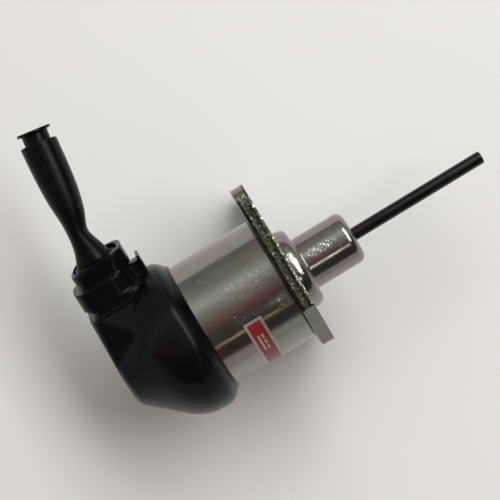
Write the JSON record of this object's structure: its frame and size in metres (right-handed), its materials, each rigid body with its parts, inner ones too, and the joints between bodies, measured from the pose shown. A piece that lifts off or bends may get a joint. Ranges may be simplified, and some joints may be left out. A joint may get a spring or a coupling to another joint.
{
  "type": "fuel shutoff solenoid",
  "caption": "Flanged plunger solenoid: plated can and nose, sprung push rod, moulded rear cap with a side connector closed by a soft dust plug.",
  "frame": {"origin": "on the plunger axis, at the flange's mounting face where the locating collar begins", "axes": "+X along the push rod away from the can, +Y to the connector side, +Z to the label side"},
  "size_m": [0.1256, 0.1004, 0.072],
  "materials": {
    "zinc_plate": "iridescent zinc plating with fine pits",
    "bare_steel": "turned steel",
    "black_rod": "gloss black coated steel",
    "black_cap": "satin black moulded nylon",
    "black_vinyl": "soft black vinyl",
    "black_rubber": "nitrile rubber",
    "brass": "drawn brass",
    "tin_blade": "tinned brass",
    "nylon": "natural nylon",
    "copper_wire": "enamelled copper winding",
    "coil_tape": "insulating tape",
    "lead_sleeve": "insulated lead",
    "spring_wire": "spring steel wire",
    "label_foil": "red printed foil with a silver border"
  },
  "bodies": {
    "solenoid": {"housing_can": "zinc_plate", "flange_plate": "zinc_plate", "nose_tube": "zinc_plate", "nose_bushing": "brass", "rod_wiper": "black_rubber", "guide_tube": "brass", "bobbin": "nylon", "coil_winding": "copper_wire", "coil_tape": "coil_tape", "rear_plate": "bare_steel", "rear_pole": "bare_steel", "bumper_ring": "black_rubber", "return_spring": "spring_wire", "rear_cap": "black_cap", "cap_seal": "black_rubber", "terminal_blade_1": "tin_blade", "terminal_blade_2": "tin_blade", "lead_wire_1": "lead_sleeve", "lead_wire_2": "lead_sleeve", "dust_plug": "black_vinyl", "rating_label": "label_foil"},
    "plunger": {"armature": "bare_steel", "push_rod": "black_rod", "rod_clip": "spring_wire"}
  },
  "joints": [
    {"name": "plunger_slide", "type": "slide", "parent": "solenoid", "child": "plunger", "axis": [1, 0, 0], "range_m": [-0.012, 0], "stiffness_N_per_m": 600, "springref_m": 0.012, "deforming": ["return_spring"]}
  ]
}
